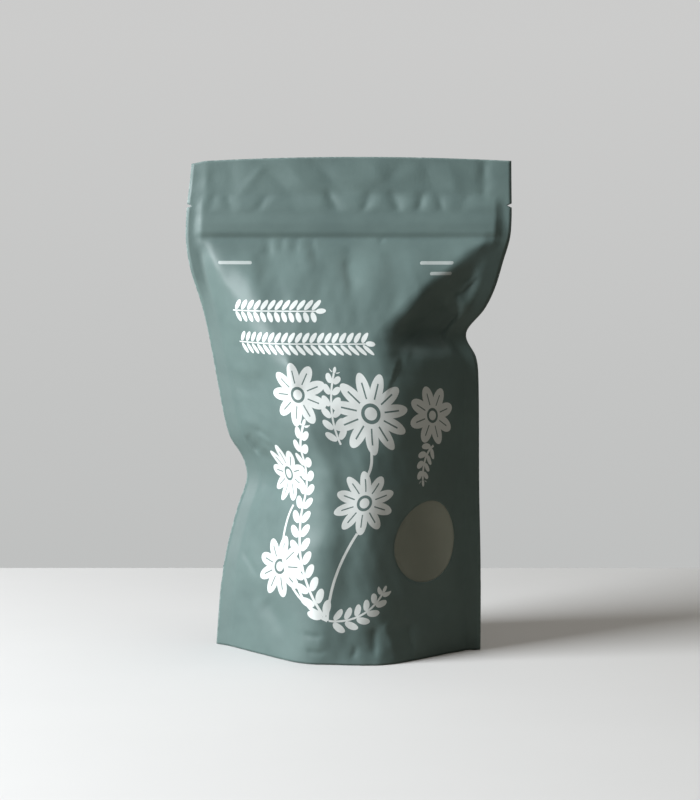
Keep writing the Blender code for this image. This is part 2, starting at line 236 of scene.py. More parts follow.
# Hollows pressed into both films of the mouth above the strip, as (x, z, half width, half height, depth, slant), in
# millimetres but for the slant
mouthDents = [
    (-92, 303, 3.6, 6, 0.45, -0.3), (-80, 303, 3.6, 6, 0.6, 0.3), (-58, 303, 4.5, 6, 0.6, -0.5),
    (-36, 304, 6.0, 6, 0.4, 0.5), (-10, 304, 4.2, 7, 1.2, 0.5), (13, 304, 3.8, 6.5, 0.9, -0.3),
    (32, 304, 4.2, 7, 1.2, 0.4), (49, 304, 4.0, 6.5, 1.0, -0.2), (62, 303, 3.6, 6, 0.8, 0.3), (78, 303, 4.6, 6, 0.4, -0.3),
    (-78, 321, 7.0, 14, 0.5, 0.2), (-50, 322, 6.0, 11, 0.5, 0.9), (-14, 322, 8.0, 13, 0.9, 0.8),
    (30, 322, 8.0, 12, 0.5, -0.7), (54, 322, 7.0, 12, 0.6, 0.4), (91, 322, 4.0, 13, 0.9, 0.0),
    (-96, 321, 4.5, 15, -0.7, 0.0), (-66, 318, 5.0, 12, -0.4, -0.8), (22, 321, 9.0, 10, -0.5, 0.6),
    (-34, 321, 7.0, 11, -0.6, 0.8), (70, 320, 6.0, 10, -0.5, 0.3),
]


def smoothPath(points, steps=6):
    # more points along a smooth line through the given ones
    p = np.array([points[0], *points, points[-1]], dtype=float)
    line = []
    for a, b, c, d in zip(p, p[1:], p[2:], p[3:]):
        for t in np.arange(steps) / steps:
            line.append(0.5 * (2 * b + (c - a) * t + (2 * a - 5 * b + 4 * c - d) * t**2
                               + (3 * b - a - 3 * c + d) * t**3))
    return np.array(line + [p[-1]])


def creaseRise(crease, x, z):
    # x and z in millimetres
    line = smoothPath(crease["path"])
    nearest = np.full(x.shape, 1e9)
    side = np.zeros(x.shape)
    share = np.zeros(x.shape)
    lengths = np.hypot(*np.diff(line, axis=0).T)
    starts = np.concatenate([[0], np.cumsum(lengths)])
    for k, (a, b) in enumerate(zip(line, line[1:])):
        run = (b - a) / lengths[k]
        along = np.clip((x - a[0]) * run[0] + (z - a[1]) * run[1], 0, lengths[k])
        offX, offZ = x - a[0] - along * run[0], z - a[1] - along * run[1]
        away = np.hypot(offX, offZ)
        closer = away < nearest
        nearest = np.where(closer, away, nearest)
        side = np.where(closer, run[0] * offZ - run[1] * offX, side)
        share = np.where(closer, (starts[k] + along) / starts[-1], share)
    reach = np.where(side > 0, crease["width"][0], crease["width"][1])
    taper = ease(share / 0.25) * ease((1 - share) / 0.35)
    taper = 0.25 + 0.75 * taper
    return crease["rise"] * taper * np.exp(-((nearest / reach) ** crease.get("sharp", 2.0)))


def waves(seed, count, shortest, longest, x, z):
    # gentle irregular undulation between -1 and 1, lengths in millimetres
    dice = random.Random(seed)
    total = np.zeros(np.broadcast(x, z).shape)
    for _ in range(count):
        turn, length, start = dice.uniform(0, math.pi), dice.uniform(shortest, longest), dice.uniform(0, 2 * math.pi)
        total += np.sin((x * math.cos(turn) + z * math.sin(turn)) * 2 * math.pi / length + start)
    return total / math.sqrt(count)


def sealHalf(z):
    # half thickness of the side seal: four films where the bottom film is trapped, then two
    four, two = 2 * bag["film"] + 1.5 * bag["gap"], bag["film"] + 0.5 * bag["gap"]
    return four + (two - four) * ease((z - 0.056) / 0.024)


def sway(x, z):
    # how far the two films of the mouth bend away from the middle plane together
    mx, mz = x * 1000, z * 1000
    total = np.zeros(np.broadcast(x, z).shape)
    for dx, dz, wide, tall, deep, slant in mouthDents:
        across_ = (mx - dx + slant * (mz - dz)) / (wide * (1 + 0.25 * np.sin((mz - dz) * 0.35 + dx)))
        total += deep * np.exp(-np.abs(across_) ** 1.7) * np.exp(-(((mz - dz) / tall) ** 4))
    total += 0.30 * waves(5, 9, 24, 70, mx, mz * 0.6) * ease((mz - 308) / 12)
    total += 0.0005 * np.maximum(-25 - mx, 0) ** 2 * ease((mz - 296) / 28)
    return total * 0.001 * ease((mz - 295.5) / 5)


def filmPoint(side, u, z):
    # point on the outside of a film
    u, z = np.broadcast_arrays(np.asarray(u, float), np.asarray(z, float))
    c = columnAt(u, z)
    beyond = np.sign(u) * np.maximum(np.abs(u) - bodyHalf, 0)
    middle, half = bodySpan(z)
    x = middle + c * half + beyond
    inside = 1 - np.abs(c)
    swell = swellAt(z) * section(side, c, z)
    mx, mz = x * 1000, z * 1000

    strips = (0.0021 - sealHalf(z)) * np.minimum(ease((z - 0.268) / 0.012), ease((0.311 - z) / 0.012))
    band = 0.0010 * ease((mz - 280.4) / 3.5) * ease((297.5 - mz) / 9) - 0.0003 * np.exp(-((mz - 279.4) / 1.3) ** 2)
    strips = (strips + band) * ease((bag["flatHalf"] - 0.0055 - np.abs(u)) / 0.006)

    dents = sum(creaseRise(crease, mx, mz) for crease in (frontCreases if side == frontSide else backCreases))
    lumps = 0.55 * waves(11 + side, 12, 26, 64, mx, mz) + 0.07 * waves(21 + side, 16, 8, 15, mx, mz)
    full = ease(swell / 0.012)
    pucker = 0.35 * np.sin(mz * 0.62 + 2.2 * np.sin(mz * 0.045 + side)) * np.exp(-inside / 0.09) * full
    detail = (dents + (lumps + pucker) * full) * 0.001 * ease(inside / 0.10)

    flat = sealHalf(z) + np.maximum(strips, 0)
    out = np.maximum(flat + swell + np.minimum(strips, 0) + detail, flat + 0.12 * swell)
    corner = 0.0014 * ease((-x - 0.096) / 0.011)
    droop = (bag["topDroop"] * (x / bag["flatHalf"]) ** 2 + corner) * ease((z - 0.300) / 0.034)
    lean = np.where(u < 0, bag["finLean"][0] * ease((0.262 - z) / 0.04),
                    bag["finLean"][1] * (0.35 + 0.65 * ease((z - 0.06) / 0.06)) * ease((0.292 - z) / 0.03))
    return np.stack([x, side * out + sway(x, z) + lean * np.abs(beyond), z - droop], axis=-1)


def filmInset(side, u, z, inset):
    # point under the outside of a film, square to it
    step = 0.0008
    acrossFilm = filmPoint(side, u + step, z) - filmPoint(side, u - step, z)
    upFilm = filmPoint(side, u, z + step) - filmPoint(side, u, z - step)
    outward = np.cross(acrossFilm, upFilm) * -side
    outward /= np.linalg.norm(outward, axis=-1, keepdims=True)
    return filmPoint(side, u, z) - outward * inset



def meshPiece(name, points, faces, slots):
    # a new object from a list of points and faces, with the given materials
    mesh = bpy.data.meshes.new(name)
    mesh.from_pydata([tuple(p) for p in points], [], faces)
    mesh.update()
    piece = bpy.data.objects.new(name, mesh)
    bpy.context.scene.collection.objects.link(piece)
    for mat in slots:
        mesh.materials.append(mat)
    mesh.shade_smooth()
    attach(piece, "root")
    return piece


def addFilmPlaces(piece, places):
    # the print and the rubbed edges read each point's place on the flat film, in units of 100 mm
    layer = piece.data.uv_layers.new(name="FilmPlace")
    index = np.empty(len(piece.data.loops), dtype=int)
    piece.data.loops.foreach_get("vertex_index", index)
    layer.data.foreach_set("uv", (np.asarray(places)[index] * 10).astype(np.float32).ravel())


def giveThickness(piece, thickness, rimSlot=0):
    solid = piece.modifiers.new("film thickness", "SOLIDIFY")
    solid.thickness = thickness
    solid.offset = -1
    solid.material_offset_rim = rimSlot
    solid.use_quality_normals = True


def gridFaces(rows, columns, flip=False, keep=None):
    faces = []
    for r in range(rows - 1):
        for c in range(columns - 1):
            if keep is not None and not keep[r, c]:
                continue
            a = r * columns + c
            quad = (a, a + 1, a + columns + 1, a + columns)
            faces.append(quad[::-1] if flip else quad)
    return faces


filmGrid = {
    "columns": 150,             # across the swelled part
    "sealColumns": 4,           # across each side seal
    "rowSpacing": 0.00142,
    "backColumns": 96,
    "backRowSpacing": 0.0022,
}


def filmRows(spacing):
    rows = list(np.linspace(0.0002, bag["height"], int(bag["height"] / spacing)))
    marks = [bag["notchHeight"] + k * bag["notchHalf"] for k in (-1, 0, 1)]
    rows = [z for z in rows if all(abs(z - m) > 0.4 * spacing for m in marks)] + marks
    return np.array(sorted(rows))


def filmPlaces(columns, rows):
    # film places of a whole panel; the outer edge steps in at the two tear notches
    body = np.linspace(-bodyHalf, bodyHalf, columns)
    share = np.arange(1, filmGrid["sealColumns"] + 1) / filmGrid["sealColumns"]
    notch = bag["notchDepth"] * np.clip(1 - np.abs(rows - bag["notchHeight"]) / bag["notchHalf"], 0, 1)
    edge = bag["flatHalf"] - notch
    outer = bodyHalf + share[None, :] * (edge - bodyHalf)[:, None]
    u = np.concatenate([-outer[:, ::-1], np.repeat(body[None, :], len(rows), 0), outer], axis=1)
    return u, np.repeat(rows[:, None], u.shape[1], 1)


window = {
    "x": 0.0553,                # middle of the window
    "z": 0.0790,
    "radius": 0.0273,
    "margin": 0.0055,           # ring where the clear patch is sealed behind the film
    "spokes": 96,
    "rings": 22,
}


def windowPlace():
    # middle of the window on the flat film
    us = np.linspace(0, bodyHalf, 400)
    xs = filmPoint(frontSide, us, np.full(400, window["z"]))[:, 0]
    return float(np.interp(window["x"], xs, us)), window["z"]


windowU, windowZ = windowPlace()


def makeFrontFilm(mats):
    rows = filmRows(filmGrid["rowSpacing"])
    u, z = filmPlaces(filmGrid["columns"], rows)
    distance = np.hypot(u - windowU, z - windowZ)
    centre = (distance[:-1, :-1] + distance[1:, :-1] + distance[:-1, 1:] + distance[1:, 1:]) / 4
    keep = centre > window["radius"]
    # points on the edge of the hole are drawn onto its circle
    beside = np.pad(keep, 1, constant_values=True)
    corners = [beside[:-1, :-1], beside[1:, :-1], beside[:-1, 1:], beside[1:, 1:]]
    onEdge = np.any(corners, axis=0) & ~np.all(corners, axis=0)
    pull = np.where(onEdge, window["radius"] / np.maximum(distance, 1e-6), 1.0)
    u, z = windowU + (u - windowU) * pull, windowZ + (z - windowZ) * pull
    points = filmPoint(frontSide, u, z).reshape(-1, 3)
    faces = gridFaces(*u.shape, keep=keep)
    film = meshPiece("printedFront", points, faces, mats)
    addFilmPlaces(film, np.stack([u.ravel(), z.ravel()], axis=1))
    dropLoose(film)
    giveThickness(film, bag["film"], 1)
    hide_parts("front_panel")
    return film


def dropLoose(piece):
    bm = bmesh.new()
    bm.from_mesh(piece.data)
    bmesh.ops.delete(bm, geom=[v for v in bm.verts if not v.link_faces], context="VERTS")
    bm.to_mesh(piece.data)
    bm.free()


def makeBackFilm(mats):
    rows = filmRows(filmGrid["backRowSpacing"])
    u, z = filmPlaces(filmGrid["backColumns"], rows)
    film = meshPiece("plainBack", filmPoint(backSide, u, z).reshape(-1, 3), gridFaces(*u.shape, flip=True), mats)
    addFilmPlaces(film, np.stack([u.ravel(), z.ravel()], axis=1))
    giveThickness(film, bag["film"], 1)
    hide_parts("back_panel")
    return film


bottomFold = {
    "depth": 0.055,             # height of the fold where the side seals trap it
    "flatShare": 0.45,          # share of the half width that lies flat on the floor
    "columns": 84,
    "leafRows": 9,
    "spans": 41,
}


def foldColumns(reach, columns):
    return np.linspace(-bodyHalf * reach, bodyHalf * reach, columns)


def foldTop(u):
    # height to which the bottom film is sealed up the front and back films
    reach = np.abs(filmPoint(backSide, u, np.full(u.shape, 0.010))[:, 1]) - 0.75e-3
    return bottomFold["depth"] - np.clip(reach, 0.0003, 1)


def foldSpan(u, spans, inset, lift):
    # free part of the bottom film between its two sealed leaves, front to back
    top = foldTop(u)
    c = np.abs(columnAt(u, np.full(u.shape, 0.010)))
    flatLevel = bag["film"] / 2
    climb = ease((c - bottomFold["flatShare"]) / (1 - bottomFold["flatShare"]))
    level = flatLevel + (bottomFold["depth"] - flatLevel) * climb
    front, back = (filmInset(side, u, top, inset) for side in (frontSide, backSide))
    t = np.linspace(-1, 1, spans)[None, :]
    flat = 1 - ease((np.abs(t) - 0.5) / 0.5)
    y = front[:, 1:2] * (1 - t) / 2 + back[:, 1:2] * (1 + t) / 2
    x = np.repeat(front[:, 0:1], spans, 1)
    return np.stack([x, y, top[:, None] + (level - top)[:, None] * flat + lift], axis=-1)


def makeBottomFilm(mats):
    inset = bag["film"] * 1.5 + bag["gap"]
    edge = np.linspace(0.25, 1, 4) * bag["sealWidth"] + bodyHalf
    u = np.concatenate([-edge[::-1], foldColumns(1.0, bottomFold["columns"]), edge])
    leaf = np.linspace(0, 1, bottomFold["leafRows"])[:-1]
    heights = 0.0003 + leaf[None, :] * (foldTop(u) - 0.0003)[:, None]
    wide = np.repeat(u[:, None], leaf.size, 1)
    front, back = (filmInset(side, wide, heights, inset) for side in (frontSide, backSide))
    span = foldSpan(u, bottomFold["spans"], inset, 0.0)
    sheet = np.concatenate([front, span, back[:, ::-1]], axis=1)
    fold = meshPiece("bottomFold", sheet.reshape(-1, 3), gridFaces(*sheet.shape[:2], flip=True), mats)
    across, down = np.meshgrid(np.arange(sheet.shape[1]) * 0.0015, u)
    addFilmPlaces(fold, np.stack([down.ravel(), across.ravel()], axis=1))
    giveThickness(fold, bag["film"])
    fold.modifiers[0].offset = 0
    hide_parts("base_gusset")
    return fold


def makeWindow(mats):
    # clear patch in rings round the middle of the window
    radius = window["radius"] + window["margin"]
    turns = np.arange(window["spokes"]) * 2 * math.pi / window["spokes"]
    rings = np.linspace(0, radius, window["rings"])[1:]
    u = windowU + rings[:, None] * np.cos(turns)
    z = windowZ + rings[:, None] * np.sin(turns)
    inset = bag["film"] + 0.00005
    places = np.concatenate([[[windowU, windowZ]], np.stack([u.ravel(), z.ravel()], axis=1)])
    points = filmInset(frontSide, places[:, 0], places[:, 1], inset)
    n = window["spokes"]
    faces = [(0, 1 + k, 1 + (k + 1) % n) for k in range(n)]
    for r in range(len(rings) - 1):
        for k in range(n):
            a, b = 1 + r * n + k, 1 + r * n + (k + 1) % n
            faces.append((a, a + n, b + n, b))
    patch = meshPiece("clearWindow", points, faces, mats)
    addFilmPlaces(patch, places)
    giveThickness(patch, bag["film"])
    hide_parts("window_film")
    return patch


filling = {
    "inset": 0.0013,            # inside the outer surface of the films
    "columns": 90,
    "wallRows": 110,
    "spans": 31,
    "heapRows": 12,
    "crown": 0.006,             # heaped up in the middle
    "share": 0.93,              # it ends at this share of the half width
    "crumble": 0.0011,          # roughness of its surface
    "crumbs": 420,              # loose bits behind the window
}


def makeFilling(mats):
    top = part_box("potting_mix")[1].z - filling["crown"]
    u = foldColumns(filling["share"], filling["columns"])
    inset, lift = filling["inset"], 0.0013
    start = foldTop(u) + lift
    share = np.linspace(0, 1, filling["wallRows"])[1:]
    heights = start[:, None] + share[None, :] * (top - start)[:, None]
    wide = np.repeat(u[:, None], share.size, 1)
    front, back = (filmInset(side, wide, heights, inset) for side in (frontSide, backSide))
    under = foldSpan(u, filling["spans"], inset, lift)[:, ::-1]
    t = np.linspace(0, 1, filling["heapRows"] + 2)[1:-1][None, :, None]
    heap = front[:, -1:] * (1 - t) + back[:, -1:] * t
    crown = filling["crown"] * (1 - (u / u[-1]) ** 2)[:, None] * (1 - (2 * t[..., 0] - 1) ** 2)
    heap[..., 2] += crown
    rings = np.concatenate([under, front, heap, back[:, ::-1]], axis=1)
    count = rings.shape[1]
    points = rings.reshape(-1, 3)
    faces = []
    for k in range(len(u) - 1):
        for i in range(count):
            a, b = k * count + i, k * count + (i + 1) % count
            faces.append((a, b, b + count, a + count))
    faces += [tuple(range(count))[::-1], tuple(range((len(u) - 1) * count, len(u) * count))]
    mix = meshPiece("pottingMix", points, faces, mats)
    bm = bmesh.new()
    bm.from_mesh(mix.data)
    bmesh.ops.recalc_face_normals(bm, faces=bm.faces)
    bm.normal_update()
    for v in bm.verts:
        rough = 0.5 + 0.5 * noise.noise(v.co * 420) + 0.25 * noise.noise(v.co * 1100)
        v.co -= v.normal * filling["crumble"] * max(rough, 0)
    addCrumbs(bm)
    bmesh.ops.triangulate(bm, faces=[f for f in bm.faces if len(f.verts) > 4])
    bm.to_mesh(mix.data)
    bm.free()
    mix.data.shade_smooth()
    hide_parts("potting_mix")
    return mix


def addCrumbs(bm):
    # bark, grit and fibre pressed against the clear patch
    dice = random.Random(8)
    count = filling["crumbs"]
    away = [(window["radius"] + 0.002) * math.sqrt(dice.random()) for _ in range(count)]
    turns = [dice.uniform(0, 2 * math.pi) for _ in range(count)]
    sizes = np.array([dice.choice([0.0004, 0.0005, 0.0006, 0.0008, 0.0012]) for _ in range(count)])
    u, z = windowU + np.multiply(away, np.cos(turns)), windowZ + np.multiply(away, np.sin(turns))
    outer = filmPoint(frontSide, u, z)
    centres = filmInset(frontSide, u, z, (2 * bag["film"] + 2 * bag["gap"] + sizes * 0.62)[:, None])
    for size, surface, centre in zip(sizes, outer, centres):
        centre = Vector(centre)
        outward = (Vector(surface) - centre).normalized()
        crumb = bmesh.ops.create_icosphere(bm, subdivisions=1, radius=size)["verts"]
        stretch = Vector((dice.uniform(0.9, 2.4), dice.uniform(0.7, 1.1), 0.55))
        pose = outward.to_track_quat("Z", "Y") @ Quaternion((0, 0, 1), dice.uniform(0, 2 * math.pi))
        for v in crumb:
            lump = v.co * (1 + 0.25 * noise.noise(v.co * 2500 + centre * 90))
            v.co = centre + pose @ (lump * stretch)


# Node helpers: a value may be a number, a tuple or another node's socket.
def plug(tree, value, socket):
    if isinstance(value, bpy.types.NodeSocket):
        tree.links.new(value, socket)
    else:
        socket.default_value = value


def calc(tree, operation, *values, clamp=False):
    node = tree.nodes.new("ShaderNodeMath")
    node.operation, node.use_clamp = operation, clamp
    for value, socket in zip(values, node.inputs):
        plug(tree, value, socket)
    return node.outputs[0]


def vectorCalc(tree, operation, *values, output="Vector"):
    node = tree.nodes.new("ShaderNodeVectorMath")
    node.operation = operation
    for value, socket in zip(values, node.inputs):
        plug(tree, value, socket)
    return node.outputs[output]


def split(tree, vector):
    node = tree.nodes.new("ShaderNodeSeparateXYZ")
    plug(tree, vector, node.inputs[0])
    return node.outputs["X"], node.outputs["Y"], node.outputs["Z"]


def join(tree, x, y, z=0.0):
    node = tree.nodes.new("ShaderNodeCombineXYZ")
    for value, socket in zip((x, y, z), node.inputs):
        plug(tree, value, socket)
    return node.outputs[0]


def mixColour(tree, share, first, second):
    node = tree.nodes.new("ShaderNodeMix")
    node.data_type = "RGBA"
    plug(tree, share, node.inputs["Factor"])
    plug(tree, first, node.inputs["A"])
    plug(tree, second, node.inputs["B"])
    return node.outputs["Result"]


def noiseAt(tree, vector, scale, detail=3.0, roughness=0.5, distortion=0.0):
    node = tree.nodes.new("ShaderNodeTexNoise")
    plug(tree, vector, node.inputs["Vector"])
    for name, value in (("Scale", scale), ("Detail", detail), ("Roughness", roughness), ("Distortion", distortion)):
        plug(tree, value, node.inputs[name])
    return node.outputs["Fac"]


def mapRange(tree, value, fromLow, fromHigh, toLow=0.0, toHigh=1.0, smooth=False):
    node = tree.nodes.new("ShaderNodeMapRange")
    node.interpolation_type = "SMOOTHSTEP" if smooth else "LINEAR"
    for v, socket in zip((value, fromLow, fromHigh, toLow, toHigh), node.inputs):
        plug(tree, v, socket)
    return node.outputs[0]


def newGroup(name, inputs, outputs):
    # inputs and outputs as (name, socket type, starting value)
    tree = bpy.data.node_groups.new(name, "ShaderNodeTree")
    for direction, sockets in (("INPUT", inputs), ("OUTPUT", outputs)):
        for label, kind, value in sockets:
            socket = tree.interface.new_socket(name=label, in_out=direction, socket_type=kind)
            if value is not None:
                socket.default_value = value
    return tree, tree.nodes.new("NodeGroupInput").outputs, tree.nodes.new("NodeGroupOutput").inputs


def placeGroup(tree, group, values):
    node = tree.nodes.new("ShaderNodeGroup")
    node.node_tree = group
    for label, value in values.items():
        plug(tree, value, node.inputs[label])
    return node.outputs


number, vector, colour = "NodeSocketFloat", "NodeSocketVector", "NodeSocketColor"


def insideOval(tree, x, halfWide, y, halfTall):
    # 1 inside an oval round the place where x and y are 0
    acrossIt, upIt = calc(tree, "DIVIDE", x, halfWide), calc(tree, "DIVIDE", y, halfTall)
    return calc(tree, "LESS_THAN", calc(tree, "ADD", calc(tree, "MULTIPLY", acrossIt, acrossIt),
                                        calc(tree, "MULTIPLY", upIt, upIt)), 1.0)


def makeBlossomGroup():
    # a round flower of even petals, each with a vein left open; sizes in millimetres
    tree, given, result = newGroup(
        "petal flower",
        [("Place", vector, None), ("Middle", vector, None), ("Radius", number, 20.0), ("Turn", number, 0.0),
         ("Petals", number, 9.0)],
        [("Mask", number, None)])
    x, y, _ = split(tree, vectorCalc(tree, "SUBTRACT", given["Place"], given["Middle"]))
    away = calc(tree, "DIVIDE", calc(tree, "SQRT", calc(tree, "ADD", calc(tree, "MULTIPLY", x, x),
                                                        calc(tree, "MULTIPLY", y, y))), given["Radius"])
    turn = calc(tree, "ADD", calc(tree, "ARCTAN2", y, x), given["Turn"])
    sector = calc(tree, "DIVIDE", 2 * math.pi, given["Petals"])
    halfSector = calc(tree, "MULTIPLY", sector, 0.5)
    folded = calc(tree, "SUBTRACT", calc(tree, "FLOORED_MODULO", turn, sector), halfSector)
    along = calc(tree, "MULTIPLY", away, calc(tree, "COSINE", folded))
    beside = calc(tree, "ABSOLUTE", calc(tree, "MULTIPLY", away, calc(tree, "SINE", folded)))
    wide = calc(tree, "MULTIPLY", calc(tree, "TANGENT", halfSector), 0.56)
    petal = insideOval(tree, calc(tree, "SUBTRACT", along, 0.60), 0.40, beside, wide)
    vein = calc(tree, "MULTIPLY", calc(tree, "LESS_THAN", beside, 0.020),
                calc(tree, "COMPARE", along, 0.56, 0.20))
    open_ = calc(tree, "SUBTRACT", 1.0, vein)
    outside = calc(tree, "GREATER_THAN", away, 0.25)
    eye = calc(tree, "LESS_THAN", away, 0.16)
    petals = calc(tree, "MULTIPLY", calc(tree, "MULTIPLY", petal, open_), outside)
    tree.links.new(calc(tree, "MAXIMUM", petals, eye), result["Mask"])
    return tree


def makeSprigGroup():
    # a stem along an arc with paired slanting leaflets and one at its tip; sizes in millimetres, Way is 1 or -1
    tree, given, result = newGroup(
        "leafy sprig",
        [("Place", vector, None), ("Middle", vector, None), ("Radius", number, 100.0), ("From", number, 0.0),
         ("Way", number, 1.0), ("Length", number, 50.0), ("Leaf", number, 9.0), ("Pitch", number, 7.0),
         ("Taper", number, 0.0), ("Stem", number, 0.5)],
        [("Mask", number, None)])
    dx, dy, _ = split(tree, vectorCalc(tree, "SUBTRACT", given["Place"], given["Middle"]))
    away = calc(tree, "SQRT", calc(tree, "ADD", calc(tree, "MULTIPLY", dx, dx), calc(tree, "MULTIPLY", dy, dy)))
    turned = calc(tree, "SUBTRACT", calc(tree, "ARCTAN2", dy, dx), given["From"])
    wrapped = calc(tree, "SUBTRACT", calc(tree, "FLOORED_MODULO", calc(tree, "ADD", turned, math.pi), 2 * math.pi),
                   math.pi)
    along = calc(tree, "MULTIPLY", calc(tree, "MULTIPLY", wrapped, given["Way"]), given["Radius"])
    beside = calc(tree, "ABSOLUTE", calc(tree, "SUBTRACT", away, given["Radius"]))
    slanted = calc(tree, "SUBTRACT", along, calc(tree, "MULTIPLY", beside, 0.6))
    share = calc(tree, "DIVIDE", slanted, given["Length"])
    onStem = calc(tree, "MULTIPLY", calc(tree, "GREATER_THAN", share, 0.0), calc(tree, "LESS_THAN", share, 1.0))
    fold = calc(tree, "SUBTRACT", calc(tree, "FLOORED_MODULO", slanted, given["Pitch"]),
                calc(tree, "MULTIPLY", given["Pitch"], 0.5))
    shrink = calc(tree, "SUBTRACT", 1.0, calc(tree, "MULTIPLY", given["Taper"], calc(tree, "MULTIPLY", share, share)))
    leaf = calc(tree, "MULTIPLY", given["Leaf"], shrink)
    leaflet = insideOval(tree, fold, calc(tree, "MULTIPLY", given["Pitch"], 0.37),
                         calc(tree, "SUBTRACT", beside, calc(tree, "MULTIPLY", leaf, 0.55)),
                         calc(tree, "MULTIPLY", leaf, 0.46))
    leaflets = calc(tree, "MULTIPLY", leaflet, onStem)
    halfLength = calc(tree, "MULTIPLY", given["Length"], 0.5)
    stem = calc(tree, "MULTIPLY", calc(tree, "LESS_THAN", beside, given["Stem"]),
                calc(tree, "COMPARE", along, halfLength, halfLength))
    halfTip = calc(tree, "MULTIPLY", calc(tree, "MULTIPLY", given["Leaf"], 0.5),
                   calc(tree, "SUBTRACT", 1.0, given["Taper"]))
    tip = insideOval(tree, calc(tree, "SUBTRACT", calc(tree, "SUBTRACT", along, given["Length"]), halfTip), halfTip,
                     beside, calc(tree, "MULTIPLY", halfTip, 0.48))
    tree.links.new(calc(tree, "MAXIMUM", calc(tree, "MAXIMUM", leaflets, stem), tip), result["Mask"])
    return tree


def makeBarGroup():
    # a plain bar with round ends; sizes in millimetres
    tree, given, result = newGroup(
        "plain bar",
        [("Place", vector, None), ("Start", vector, None), ("Length", number, 20.0), ("Height", number, 2.0)],
        [("Mask", number, None)])
    x, y, _ = split(tree, vectorCalc(tree, "SUBTRACT", given["Place"], given["Start"]))
    past = calc(tree, "SUBTRACT", x, calc(tree, "MINIMUM", calc(tree, "MAXIMUM", x, 0.0), given["Length"]))
    away = calc(tree, "SQRT", calc(tree, "ADD", calc(tree, "MULTIPLY", past, past), calc(tree, "MULTIPLY", y, y)))
    tree.links.new(calc(tree, "LESS_THAN", away, calc(tree, "MULTIPLY", given["Height"], 0.5)), result["Mask"])
    return tree


def makeGrainGroup():
    # height of a film's surface: fine matte grain over faint creasing from handling
    tree, given, result = newGroup(
        "matte film grain",
        [("Place", vector, None), ("Grain", number, 0.3), ("Handling", number, 0.6)],
        [("Height", number, None), ("Cloud", number, None)])
    fine = noiseAt(tree, given["Place"], 2.6, 2.0, 0.6)
    stretched = vectorCalc(tree, "MULTIPLY", given["Place"], (0.10, 0.05, 0.1))
    folds = noiseAt(tree, stretched, 1.0, 4.0, 0.55, 0.8)
    ridge = calc(tree, "ABSOLUTE", calc(tree, "SUBTRACT", folds, 0.5))
    cloud = noiseAt(tree, vectorCalc(tree, "MULTIPLY", given["Place"], (0.03, 0.03, 0.03)), 1.0, 3.0, 0.6)
    height = calc(tree, "ADD", calc(tree, "MULTIPLY", fine, given["Grain"]),
                  calc(tree, "MULTIPLY", ridge, given["Handling"]))
    tree.links.new(height, result["Height"])
    tree.links.new(cloud, result["Cloud"])
    return tree


def makeRubbedEdgeGroup():
    # 1 along the cut edges of the flat film, broken up as wear is; sizes in millimetres
    tree, given, result = newGroup(
        "rubbed film edge",
        [("Place", vector, None), ("Half Width", number, 110.0), ("Height", number, 332.0), ("Reach", number, 0.8)],
        [("Mask", number, None)])
    x, y, _ = split(tree, given["Place"])
    sideGap = calc(tree, "SUBTRACT", given["Half Width"], calc(tree, "ABSOLUTE", x))
    nearest = calc(tree, "MINIMUM", sideGap, calc(tree, "MINIMUM", calc(tree, "SUBTRACT", given["Height"], y), y))
    edge = mapRange(tree, nearest, 0.0, given["Reach"], 1.0, 0.0)
    broken = mapRange(tree, noiseAt(tree, given["Place"], 0.35, 4.0, 0.6), 0.4, 0.65)
    tree.links.new(calc(tree, "MULTIPLY", edge, broken), result["Mask"])
    return tree


blossomGroup, sprigGroup, barGroup = makeBlossomGroup(), makeSprigGroup(), makeBarGroup()
grainGroup, rubbedEdgeGroup = makeGrainGroup(), makeRubbedEdgeGroup()

# The front's plain print. Places and sizes in millimetres on the flat film, turns in degrees.
frontPrint = {
    # middle x and z, radius, turn in degrees, petals
    "blossoms": [(-31, 178, 21, 0, 9), (19, 166, 27, 12, 11), (67, 163, 20, 8, 8), (-57, 124, 19, 5, 9),
                 (7, 108, 21, 0, 10), (-50, 62, 21, 14, 9)],
    # start x and z, end x and z, bow as a share of the length, leaf, pitch, taper, half width of the stem
    "sprigs": [(-10, 30, -29, 158, 0.14, 9.0, 9.5, 0.45, 0.9), (-10, 30, 5, 88, 0.06, 0.1, 9.0, 0.0, 0.9),
               (9, 126, 16, 142, -0.05, 0.1, 9.0, 0.0, 0.9), (-11, 34, -48, 104, 0.22, 0.1, 9.0, 0.0, 0.9),
               (-10, 30, -33, 52, 0.10, 0.1, 9.0, 0.0, 0.9), (-9, 30, 26, 48, -0.16, 8.0, 7.5, 0.4, 0.7),
               (66, 143, 52, 121, -0.14, 6.5, 6.5, 0.3, 0.8), (-4, 146, -4, 192, 0.08, 7.5, 7.5, 0.4, 0.7)],
    # start x and z, end x and z, leaf, pitch: two rows in place of the title
    "garlands": [(-82, 232, -16, 232, 7.2, 5.5), (-79, 211, 25, 211, 7.2, 5.5)],
    # start x, z, length, height
    "bars": [(-87, 263.5, 22, 2.2), (54, 263.5, 21, 2.2), (62, 256.5, 13, 2.2)],
}


def arcOf(x0, z0, x1, z1, bow):
    # the arc between two points that bows by a share of their distance, as the sprig group takes it
    start, end = Vector((x0, z0, 0)), Vector((x1, z1, 0))
    length = (end - start).length
    rise = max(abs(bow), 0.002) * length
    radius = length**2 / (8 * rise) + rise / 2
    way = -1.0 if bow > 0 else 1.0
    aside = Vector((-(end - start).y, (end - start).x, 0)).normalized() * way
    middle = (start + end) / 2 + aside * (radius - rise)
    turn = math.atan2(start.y - middle.y, start.x - middle.x)
    return {"Middle": middle, "Radius": radius, "From": turn, "Way": way,
            "Length": 2 * radius * math.asin(length / 2 / radius)}


